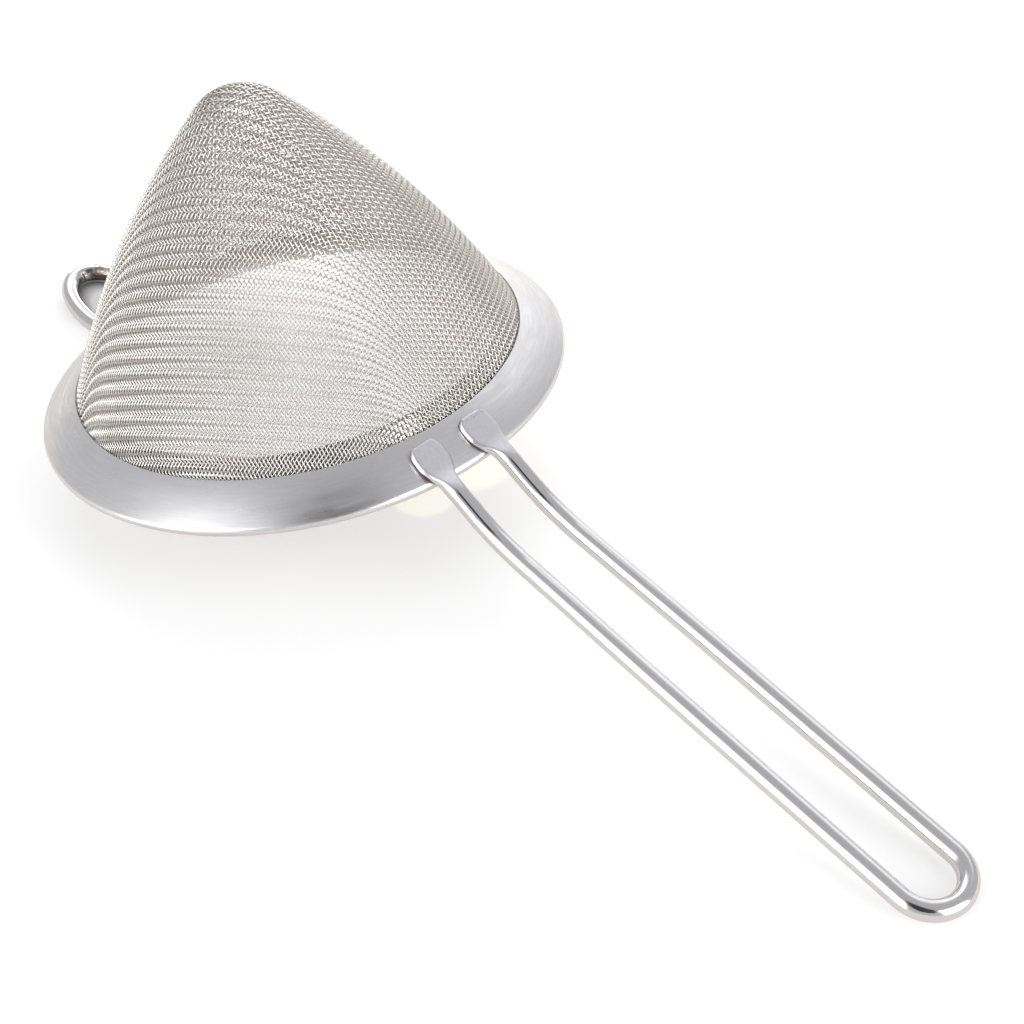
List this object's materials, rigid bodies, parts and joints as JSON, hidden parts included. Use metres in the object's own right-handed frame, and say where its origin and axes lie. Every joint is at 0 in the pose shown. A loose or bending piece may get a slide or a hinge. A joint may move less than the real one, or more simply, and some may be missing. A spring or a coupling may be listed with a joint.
{
  "type": "conical mesh strainer",
  "caption": "Conical strainer of fine woven wire in a sloping sheet-steel rim, with a long bent-wire handle and a rest hook opposite it.",
  "frame": {"origin": "centre of the mouth, in the plane of the rim's lowest edge", "axes": "+Z along the cone's axis towards its tip, as the strainer is set down with the tip up; +X along the handle; -X towards the rest hook"},
  "size_m": [0.2155, 0.09, 0.0905],
  "materials": {
    "wire_cloth": "drawn stainless wire, bright, woven in 2/2 twill",
    "brushed_sheet": "satin, brushed around the rim",
    "polished_wire": "polished stainless wire with matt pressed ends",
    "weld": "dull weld metal, slightly tinted"
  },
  "bodies": {
    "root": {"sieve_cone": "wire_cloth", "rim_band": "brushed_sheet", "clamp_ring": "brushed_sheet", "handle_wire": "polished_wire", "hook_wire": "polished_wire", "handle_spot_welds": "weld", "hook_spot_welds": "weld"}
  },
  "joints": []
}
